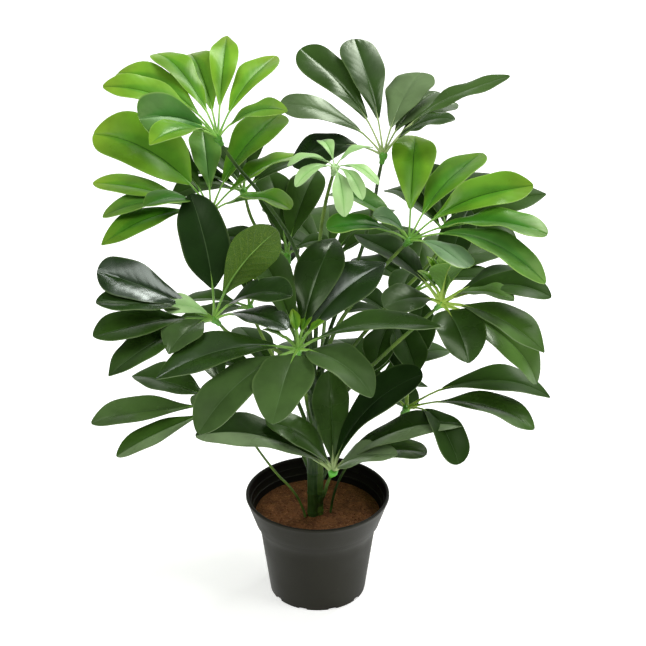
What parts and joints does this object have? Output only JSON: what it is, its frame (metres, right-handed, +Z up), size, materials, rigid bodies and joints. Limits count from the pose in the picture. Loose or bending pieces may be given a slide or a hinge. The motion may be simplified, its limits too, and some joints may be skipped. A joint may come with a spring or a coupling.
{
  "type": "potted umbrella plant",
  "caption": "Artificial umbrella plant with branching stems and heads of spreading oval leaflets, standing in soil in a round dark nursery pot.",
  "frame": {"origin": "middle of the pot's underside, on the surface that it rests on", "axes": "+Z up along the pot's axis; -Y towards the front of the plant, the side the picture shows; +X to the right seen from the front"},
  "size_m": [0.3872, 0.3801, 0.4842],
  "materials": {
    "pot_plastic": "satin, fine moulded grain",
    "soil": "matt, grainy",
    "stem": "satin",
    "leaf_light": "glossy, with a darker green wedge along the midrib",
    "leaf_dark": "glossy, with a paler midrib and fine side veins",
    "leaf_new": "satin, pale"
  },
  "bodies": {
    "root": {"pot": "pot_plastic", "soil": "soil", "trunk": "stem", "stem_side_left": "stem", "stem_side_right": "stem", "head_upper_left": "leaf_light", "head_left": "leaf_light", "head_middle_left": "leaf_dark", "head_front": "leaf_dark", "head_right": "leaf_dark", "head_upper_right": "leaf_light", "head_behind_right": "leaf_dark", "head_top": "leaf_dark", "head_new_leaves": "leaf_new", "head_behind_middle": "leaf_dark", "head_behind_left": "leaf_dark", "head_lower_left": "leaf_dark", "head_front_low": "leaf_dark", "head_lower_right": "leaf_dark", "head_behind_front": "leaf_dark", "head_back_left": "leaf_dark", "head_back": "leaf_dark", "head_back_right": "leaf_dark", "head_low_back_left": "leaf_dark", "head_low_back_right": "leaf_dark"}
  },
  "joints": []
}
